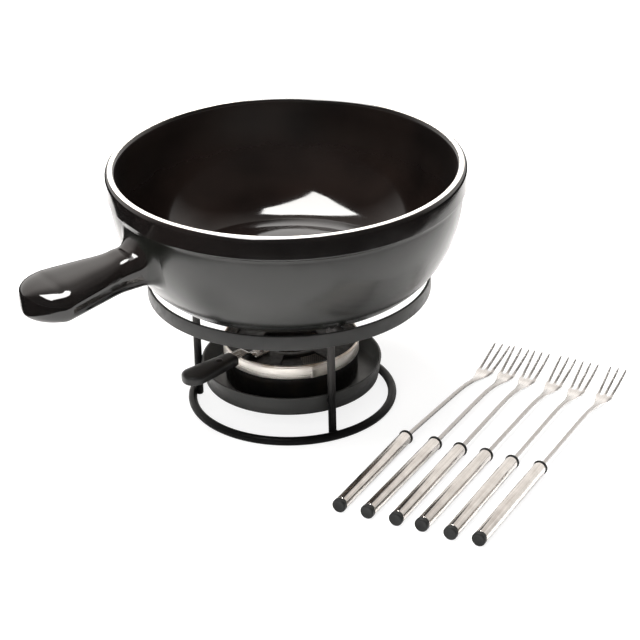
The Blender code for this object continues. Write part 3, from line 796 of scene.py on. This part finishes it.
def make_pot():
    """Turned bowl and its handle: glossy lip, collar and handle, satin wall, darker bowl."""
    bm = lathe(pot_profile(), FINE, closed=False)
    handle = loft(handle_rings())
    handle.transform(Matrix.Rotation(radians(HANDLE_ANGLE), 4, "Z"))
    spare = mesh_of("handle_skin", handle)
    bm.from_mesh(spare)
    bpy.data.meshes.remove(spare)
    gloss, satin, bowl = range(3)
    for face in bm.faces:
        reach, height = place_of(face)
        depth = outside_radius(height) - reach
        face.material_index = gloss
        if reach < POT_R and depth < 0.0015 and height < COLLAR_FULL:
            face.material_index = satin
        if reach < POT_MOUTH_R + 0.0005 and depth > 0.0030 and height > POT_FLOOR - 0.0005:
            face.material_index = bowl
    pot = make_piece("glazed_pot", bm, GLAZE, "pot", replaced=("pot",), sharp=75)
    pot.data.materials.append(SATIN_GLAZE)
    pot.data.materials.append(BOWL_GLAZE)


# ---------- stand
def make_base_ring():
    """Wire ring that the set stands on."""
    wire = RING_WIRE - 0.00005
    section = [(RING_R + wire * cos(2 * pi * i / 24), RING_WIRE + wire * sin(2 * pi * i / 24))
               for i in range(24)]
    make_piece("ring_wire", lathe(section, FINE), WIRE_PAINT, "stand",
               replaced=("base_ring",))


def make_top_band():
    """Strip on edge round the pot's foot."""
    section = [(BAND_INSIDE, BAND_LOW), (BAND_R, BAND_LOW), (BAND_R, BAND_HIGH),
               (BAND_INSIDE, BAND_HIGH)]
    make_piece("band_hoop", lathe(soften(section, 0.0007, 5), FINE), PAINT, "stand",
               replaced=("top_band",), sharp=60)


def make_uprights():
    """Wires with a smooth bend, and the welds that hold them to the ring, tray and band."""
    for index, angle in enumerate(UPRIGHT_ANGLES, start=1):
        bend = arc(UPRIGHT_R + ARM_BEND, ARM_Z - ARM_BEND, ARM_BEND, 180, 90, 14)
        path = [(UPRIGHT_R, 0.0008), (UPRIGHT_R, 0.0016), (UPRIGHT_R, 0.0400)] + bend
        path += [(BAND_INSIDE - 0.0008, ARM_Z), (BAND_INSIDE + 0.0002, ARM_Z)]
        place = at_stand(angle)
        make_piece(f"upright_wire_{index}", bend_wire(path, UPRIGHT_WIRE), WIRE_PAINT, "stand",
                   place, replaced=(f"upright_{index}",))
        welds = (((UPRIGHT_R + 0.0019, 0.0, 0.0052), (0.0020, 0.0028, 0.0013)),
                 ((UPRIGHT_R - 0.0029, 0.0, TRAY_HIGH - 0.0040), (0.0008, 0.0024, 0.0030)),
                 ((BAND_INSIDE - 0.0006, 0.0, ARM_Z + 0.0016), (0.0016, 0.0027, 0.0011)))
        for number, (centre, size) in enumerate(welds, start=1):
            weld_bead(f"weld_{index}_{number}", centre, size, 10.0 * index + number, place)


def make_tray():
    """Spun tray: flat floor, upright wall and rolled rim, its enamel painted paler inside as
    painted light.
    """
    corner = TRAY_FLOOR_R - 0.0010
    floor = TRAY_LOW + TRAY_SHEET
    section = [(0.0, TRAY_LOW), (corner, TRAY_LOW), (TRAY_RIM_R - 0.0002, TRAY_HIGH - 0.0012),
               (TRAY_RIM_R, TRAY_HIGH), (TRAY_RIM_R - 0.0016, TRAY_HIGH),
               (TRAY_RIM_R - TRAY_SHEET - 0.0002, TRAY_HIGH - 0.0020), (corner - TRAY_SHEET, floor)]
    profile = soften(section, 0.0016, 6, closed=False)
    bm = lathe(profile + [(0.030, floor), (0.0, floor)], FINE, closed=False)
    slope = (TRAY_RIM_R - TRAY_FLOOR_R) / (TRAY_HIGH - TRAY_LOW)
    for face in bm.faces:
        reach, height = place_of(face)
        rise = height - TRAY_LOW
        inside = rise > 0.7 * TRAY_SHEET and reach < TRAY_FLOOR_R + slope * rise - TRAY_SHEET
        face.material_index = 1 if inside else 0
    tray = make_piece("spun_tray", bm, ENAMEL, "stand", replaced=("burner_tray",),
                      sharp=50)
    tray.data.materials.append(ENAMEL_PAINTED_LIGHT)


# ---------- burner
def make_cup():
    """Drawn can that holds the wool."""
    inside, floor = CUP_R - CUP_SHEET, CUP_LOW + CUP_SHEET
    section = [(0.0, CUP_LOW), (CUP_R, CUP_LOW), (CUP_R, CUP_HIGH), (inside, CUP_HIGH),
               (inside, floor), (0.0, floor)]
    make_piece("fuel_cup", lathe(soften(section, 0.0020, 6, closed=False), MEDIUM, closed=False),
               BLACK_CUP, "burner", replaced=("burner_cup",), sharp=50)


def make_pad():
    """Lumpy disc of wool in the bottom of the cup."""
    radius = CUP_R - CUP_SHEET - 0.0014
    low = CUP_LOW + CUP_SHEET + GAP
    high = PAD_HIGH - 0.0002
    section = [(0.0, low), (radius, low), (radius, high), (0.0, high)]
    profile = soften(section, 0.0025, 5, closed=False)[:-1]
    profile += [(radius * k / 12, high) for k in range(11, -1, -1)]
    bm = lathe(profile, 96, closed=False)
    for vert in bm.verts:
        if vert.co.z > low + 0.002:
            lump = noise.noise(vert.co * 170.0) + 0.5 * noise.noise(vert.co * 520.0)
            vert.co.z -= 0.0006 * max(0.0, 0.6 + lump)
    make_piece("wool_pad", bm, WOOL, "burner", replaced=("absorbent_pad",),
               sharp=180)


def windowed_sheet(name, outer, low, sheet, first_window, body, replaced=()):
    """Flat ring of sheet metal with sector windows, its edges slightly rounded."""
    bm = bmesh.new()
    radii = [WINDOW_RIM, 0.5 * (WINDOW_RIM + WINDOW_LOW_R), WINDOW_LOW_R]
    radii += [WINDOW_LOW_R + (WINDOW_HIGH_R - WINDOW_LOW_R) * k / 5 for k in range(1, 6)]
    radii += [0.5 * (WINDOW_HIGH_R + outer), outer]
    turns = 144
    step_angle = 360 / turns
    angles = [radians(first_window + step_angle * k) for k in range(turns)]
    verts = [[bm.verts.new((r * cos(a), r * sin(a), low + 0.5 * sheet)) for a in angles]
             for r in radii]
    pitch = 360 / WINDOW_COUNT
    for i in range(len(radii) - 1):
        in_window_band = radii[i] >= WINDOW_LOW_R - 1e-6 and radii[i + 1] <= WINDOW_HIGH_R + 1e-6
        for k in range(turns):
            offset = (step_angle * (k + 0.5) + pitch / 2) % pitch - pitch / 2
            if in_window_band and abs(offset) < WINDOW_ANGLE / 2:
                continue
            j = (k + 1) % turns
            bm.faces.new((verts[i][k], verts[i + 1][k], verts[i + 1][j], verts[i][j]))
    loose = [vert for vert in bm.verts if not vert.link_faces]
    bmesh.ops.delete(bm, geom=loose, context="VERTS")
    piece = make_piece(name, bm, BURNT_PLATE, body, replaced=replaced, sharp=180)
    modify(piece, "thicken", "SOLIDIFY", thickness=sheet, offset=0.0)
    modify(piece, "soft_edges", "BEVEL", width=0.00018, segments=2, limit_method="ANGLE",
           angle_limit=radians(50))


def make_collar():
    """Steel collar: wall with a rolled lip and a lapped seam, and the windowed shelf inside it."""
    inside = COLLAR_R - COLLAR_SHEET
    section = [(inside, COLLAR_BOTTOM), (COLLAR_R, COLLAR_BOTTOM), (COLLAR_R, COLLAR_TOP - 0.0018),
               (COLLAR_R + 0.0003, COLLAR_TOP - 0.0009), (COLLAR_R, COLLAR_TOP),
               (inside - 0.0001, COLLAR_TOP), (inside - 0.0002, COLLAR_TOP - 0.0010),
               (inside, COLLAR_TOP - 0.0020)]
    make_piece("collar_wall", lathe(soften(section, 0.0005, 4), FINE), COLLAR_STEEL, "burner",
               replaced=("burner_collar",), sharp=50)
    windowed_sheet("collar_shelf", inside + 0.0002, SHELF_Z, COLLAR_SHEET,
                   LEVER_ANGLE + LEVER_TO_OPEN + 180 / WINDOW_COUNT, "burner")
    lap = rounded_ring(0.0011, COLLAR_R - 0.0003, COLLAR_R + 0.00028, 3.0, 16)
    heights = (COLLAR_BOTTOM + 0.0001, 0.5 * (COLLAR_BOTTOM + COLLAR_TOP), COLLAR_TOP - 0.0019)
    seam = [[(out, across, height) for across, out in lap] for height in heights]
    make_piece("collar_seam", loft(seam), COLLAR_STEEL, "burner",
               at_stand(SEAM_ANGLE))


def make_regulator_plate():
    """Plate whose windows meet those of the shelf when the lever is turned to open."""
    windowed_sheet("air_plate", PLATE_R, PLATE_Z, PLATE_SHEET, LEVER_ANGLE + 180 / WINDOW_COUNT,
                   "regulator", replaced=("regulator_plate",))


# ---------- regulator lever
def make_strip():
    """Flat steel strip with two soft bends, its long edges broken."""
    middle = [(x, z + 0.5 * STRIP_THICK) for x, z in STRIP_UNDER]
    path = soften(middle, 0.0022, 8, closed=False)
    section = rounded_ring(0.5 * STRIP_WIDTH, -0.5 * STRIP_THICK, 0.5 * STRIP_THICK, 9.0, 40)
    rings = [[(x - along.y * up, across, z + along.x * up) for across, up in section]
             for (x, z), along in zip(path, headings(path))]
    make_piece("lever_bar", loft(rings), LEVER_STEEL, "regulator",
               at_stand(LEVER_ANGLE), replaced=("lever_strip",), sharp=45)


def make_grip():
    """Moulded paddle: slim neck, slow swell and a round end, crowned on top."""
    stations = [(GRIP_INNER, 0.0046, 0.0467, 0.0524), (GRIP_INNER + 0.0005, 0.0053, 0.0461, 0.0529),
                (GRIP_INNER + 0.0016, GRIP_NECK, GRIP_LOW, GRIP_HIGH),
                (0.5 * (GRIP_INNER + GRIP_SWELL[0]), 0.0063, GRIP_LOW, GRIP_HIGH),
                (*GRIP_SWELL, GRIP_LOW, GRIP_HIGH), (0.0780, 0.0083, GRIP_LOW, GRIP_HIGH)]
    for angle in (0, 20, 38, 54, 68, 79, 86):
        across = GRIP_END_R * cos(radians(angle))
        distance = GRIP_CENTRE + GRIP_END_R * sin(radians(angle))
        thin = 0.0017 * (angle / 90) ** 3
        stations.append((distance, across, GRIP_LOW + thin, GRIP_HIGH - thin))
    rings = [section_ring(row, 3.6, 64) for row in curve_through(stations, 6)]
    make_piece("lever_paddle", loft(rings), PHENOLIC, "regulator",
               at_stand(LEVER_ANGLE), replaced=("lever_grip",), sharp=60)


def rivet(name, distance, low, high, foot, material, replaced):
    """Rivet with a domed head, and a flat foot of its own if it has one."""
    dome = [(RIVET_HEAD_R * cos(radians(a)), high + RIVET_HEAD * sin(radians(a)))
            for a in range(0, 90, 9)] + [(0.0, high + RIVET_HEAD)]
    profile = [(0.0, low)]
    if foot:
        profile += [(RIVET_HEAD_R - 0.0003, low), (RIVET_HEAD_R, low + 0.0003),
                    (RIVET_HEAD_R, low + RIVET_HEAD)]
        low += RIVET_HEAD
    profile += [(RIVET_R, low), (RIVET_R, high)] + dome
    place = at_stand(LEVER_ANGLE) @ Matrix.Translation((distance, 0.0, 0.0))
    make_piece(name, lathe(profile, SMALL, closed=False), material, "regulator", place,
               replaced=replaced, sharp=50)


def make_rivets():
    """Two rivets through strip and plate, and one through the grip."""
    strip_top = STRIP_UNDER[0][1] + STRIP_THICK
    for index, distance in enumerate(PLATE_RIVETS, start=1):
        rivet(f"plate_rivet_head_{index}", distance, PLATE_Z + 0.0001, strip_top, False,
              RIVET_STEEL, (f"plate_rivet_{index}",))
    rivet("grip_pin", GRIP_RIVET, GRIP_LOW - RIVET_HEAD - GAP, GRIP_HIGH, True, PHENOLIC,
          ("grip_rivet",))


# ---------- forks (along +X from the cap)
def fork_height(distance):
    """Height of the middle of the rod and prongs above the table."""
    for (s0, z0), (s1, z1) in zip(FORK_HEIGHTS, FORK_HEIGHTS[1:]):
        if distance <= s1:
            return z0 + (z1 - z0) * (distance - s0) / (s1 - s0)
    return FORK_HEIGHTS[-1][1]


def rod_shift(distance, lean):
    """Sideways shift of a rod that leans from where it leaves its handle."""
    return tan(radians(lean)) * max(distance - PLUG_END, 0.0)


def fork_ring(distance, half_width, half_thick, roundness, lean):
    """Twelve points across the rod or palm: six below, then six above, from side to side."""
    below = []
    for i, across in enumerate(PALM_ACROSS):
        angle = pi + pi * (i + 0.5) / 6
        y = roundness * cos(angle) + (1 - roundness) * across
        z = roundness * sin(angle) - (1 - roundness)
        below.append((y * half_width, z * half_thick))
    above = [(y, -z) for y, z in reversed(below)]
    shift = rod_shift(distance, lean)
    height = fork_height(distance)
    return [(distance, shift + y, height + z) for y, z in below + above]


def add_tine(bm, ring, side, lean):
    """Draw one tine out of four vertices of the palm's end; side is -1, 0 or 1."""
    for distance, half, apart in TINE_STATIONS:
        height = fork_height(distance)
        middle = side * apart + rod_shift(distance, lean)
        thick = min(TINE_HALF_THICK, half)
        corners = ((-half, -thick), (half, -thick), (half, thick), (-half, thick))
        further = [bm.verts.new((distance, middle + y, height + z)) for y, z in corners]
        join_rings(bm, ring, further)
        ring = further
    bm.faces.new(ring)


def make_prongs(body, lean, place):
    """Rod, flattened neck, palm and three tines from one cage, smoothed by subdivision."""
    bm = bmesh.new()
    sections = [(distance, ROD_CAGE, ROD_CAGE, 1.0) for distance in ROD_STATIONS]
    sections += PALM_SECTIONS
    end = skin(bm, [fork_ring(*section, lean) for section in sections])
    below, above = end[:6], end[:5:-1]
    for i in (1, 3):
        bm.faces.new((below[i], below[i + 1], above[i + 1], above[i]))
    for tine in range(3):
        left, right = 2 * tine, 2 * tine + 1
        add_tine(bm, [below[left], below[right], above[right], above[left]], tine - 1, lean)
    piece = make_piece(f"{body}_rod_and_tines", bm, ROD_STEEL, body, place,
                       (f"{body}_prongs",), sharp=180)
    modify(piece, "smoothing", "SUBSURF", levels=2, render_levels=2)


def make_turned(body, part, node, profile, corner, finish_of, place, closed=True):
    """Part of a fork turned about its handle's middle line, its corners rounded."""
    material, slot = finish_of
    bm = lathe(soften(profile, corner, 4, closed), SMALL, closed)
    bm.transform(Matrix.Translation((0, 0, fork_height(0.0))) @ Matrix.Rotation(pi / 2, 4, "Y"))
    make_piece(f"{body}_{part}", bm, material, body, place, (f"{body}_{node}",), sharp=50)


def make_fork(index):
    """Prongs, tube handle, end cap and neck plug of one fork."""
    x, y, direction, lean = FORKS[index - 1]
    place = at_stand() @ Matrix.Translation((x, y, 0.0))
    place = place @ Matrix.Rotation(radians(direction), 4, "Z")
    body = f"fork_{index}"
    steel, plastic = (FORK_STEEL, "fork_steel"), (FORK_PLASTIC, "fork_plastic")
    make_prongs(body, lean, place)

    bore = TUBE_R - TUBE_SHEET
    tube = [(bore, TUBE_START), (TUBE_R, TUBE_START), (TUBE_R, TUBE_END), (bore, TUBE_END)]
    make_turned(body, "tube", "handle", tube, 0.00028, steel, place)

    stem = bore - GAP
    shoulder = TUBE_START - GAP
    stem_end = 0.012
    cap = [(0.0, 0.0004), (0.0022, 0.0003), (CAP_R - 0.0006, 0.0), (CAP_R, 0.0006),
           (CAP_R, shoulder), (stem, shoulder), (stem, stem_end), (0.0, stem_end)]
    make_turned(body, "cap", "end_cap", cap, 0.0005, plastic, place, closed=False)

    seat = TUBE_END + GAP
    flange = seat + PLUG_FLANGE
    hole = ROD_R + 0.0001
    plug_start = 0.0900
    plug = [(hole, plug_start), (stem, plug_start), (stem, seat), (PLUG_R, seat),
            (PLUG_R, flange), (0.0031, flange), (0.0024, PLUG_END), (hole, PLUG_END)]
    make_turned(body, "plug", "neck_plug", plug, 0.0004, plastic, place)


# ---------- studio
def hide_from(thing, *rays):
    """Leave a stage object out for some kinds of light ray."""
    for ray in rays:
        setattr(thing, "visible_" + ray, False)


def make_floor(name, height, glow, albedo):
    """Wide pale table top; the glow lifts the shadows on it."""
    bm = bmesh.new()
    bmesh.ops.create_grid(bm, x_segments=8, y_segments=8, size=TABLE_HALF)
    bmesh.ops.translate(bm, verts=bm.verts, vec=(0.0, 0.0, height))
    mesh = mesh_of(name, bm)
    mesh.materials.append(floor_material(name, glow, albedo))
    floor = new_object(name, mesh)
    return floor


def make_panel(name, corners, faces, colour, strength):
    """Flat stage panel that only shows in reflections, and lights the set if it glows."""
    mesh = bpy.data.meshes.new(name)
    mesh.from_pydata([STAND_AXIS + Vector(corner) for corner in corners], [], faces)
    material = bpy.data.materials.new(name)
    material.use_nodes = True
    tree = material.node_tree
    tree.nodes.remove(tree.nodes[SHADER])
    glow = add(tree, "Emission", {"Color": (*colour, 1.0), "Strength": strength})
    tree.links.new(glow.outputs["Emission"], tree.nodes["Material Output"].inputs["Surface"])
    mesh.materials.append(material)
    panel = new_object(name, mesh)
    hide_from(panel, "camera")
    return panel


def make_world():
    """Studio air: a bright backdrop behind the set, dim overhead and in front."""
    world = bpy.data.worlds.new("studio")
    world.use_nodes = True
    tree = world.node_tree
    direction = add(tree, "TexCoord").outputs["Generated"]
    parts = add(tree, "SeparateXYZ", {"Vector": direction}).outputs
    sky = tint(parts["Z"], *SKY)
    strength = spread(parts["Y"], *SKY_STRENGTH)
    seen = add(tree, "LightPath").outputs["Is Camera Ray"]
    background = tree.nodes["Background"].inputs
    tree.links.new(sky, background["Color"])
    tree.links.new(combine(strength, seen, "MAXIMUM"), background["Strength"])
    bpy.context.scene.world = world


def make_fill_light():
    """Wide soft light that reaches under the pot and shows in no reflection."""
    light = bpy.data.lights.new("front_fill", "AREA")
    light.size = FILL_SIZE
    light.energy = FILL_POWER
    lamp = new_object("front_fill", light)
    lamp.location = STAND_AXIS + Vector(FILL_PLACE)
    lamp.rotation_mode = "QUATERNION"
    lamp.rotation_quaternion = (-Vector(FILL_PLACE)).to_track_quat("-Z", "Y")
    hide_from(lamp, "glossy")


def make_studio():
    """White table, a softbox overhead, and the dark studio that starts beyond the table."""
    hide_from(make_floor("table_top", 0.0, *SEEN_TABLE), "glossy", "diffuse", "shadow")
    hide_from(make_floor("table_top_in_reflections", UNDER_TABLE, *MIRRORED_TABLE), "camera")
    make_world()
    make_panel("overhead_softbox", [(x, y, SOFTBOX_HEIGHT) for x, y in SOFTBOX],
               [tuple(range(len(SOFTBOX)))], SOFTBOX_COLOUR, SOFTBOX_STRENGTH)
    make_fill_light()
    make_dark_surround()


def make_dark_surround():
    """Ring round the table that glossy surfaces see as the dark end of the table."""
    corners = []
    faces = []
    steps = 96
    for k in range(steps):
        angle = 2 * pi * k / steps
        nearness = max(cos(angle - radians(DARK_NEAREST_AT)), 0.0) ** 6
        for radius in (DARK_FROM - DARK_NEARER * nearness, DARK_TO):
            corners.append((radius * cos(angle), radius * sin(angle), DARK_HEIGHT))
        after = 2 * ((k + 1) % steps)
        faces.append((2 * k, 2 * k + 1, after + 1, after))
    surround = make_panel("dark_surround", corners, faces, DARK_COLOUR, 1.0)
    hide_from(surround, "diffuse", "shadow")


def make_camera():
    """Camera in the photographer's place, looking along +Y before it is turned."""
    camera = new_object("camera", bpy.data.cameras.new("camera"))
    camera.data.lens = CAMERA_LENS
    camera.data.sensor_width = SENSOR
    camera.data.clip_start = 0.1
    camera.data.clip_end = 30.0
    turns = ((-CAMERA_PAN, "Z"), (90.0 - CAMERA_TILT, "X"), (CAMERA_ROLL, "Z"))
    pan, tilt, roll = (Matrix.Rotation(radians(angle), 4, axis) for angle, axis in turns)
    spot = Matrix.Translation(STAND_AXIS + Vector((0.0, -CAMERA_BACK, CAMERA_HEIGHT)))
    camera.matrix_world = spot @ pan @ tilt @ roll
    bpy.context.scene.camera = camera


# ---------- build
def main():
    """Build the set in its studio."""
    make_pot()
    make_base_ring()
    make_top_band()
    make_uprights()
    make_tray()
    make_cup()
    make_pad()
    make_collar()
    make_regulator_plate()
    make_strip()
    make_grip()
    make_rivets()
    for index in range(1, len(FORKS) + 1):
        make_fork(index)
    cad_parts["burner_gauze"].material_slots[0].material = GAUZE
    make_studio()
    make_camera()
    bpy.context.scene.view_settings.view_transform = "Standard"
    bpy.context.scene.view_settings.look = "None"


main()
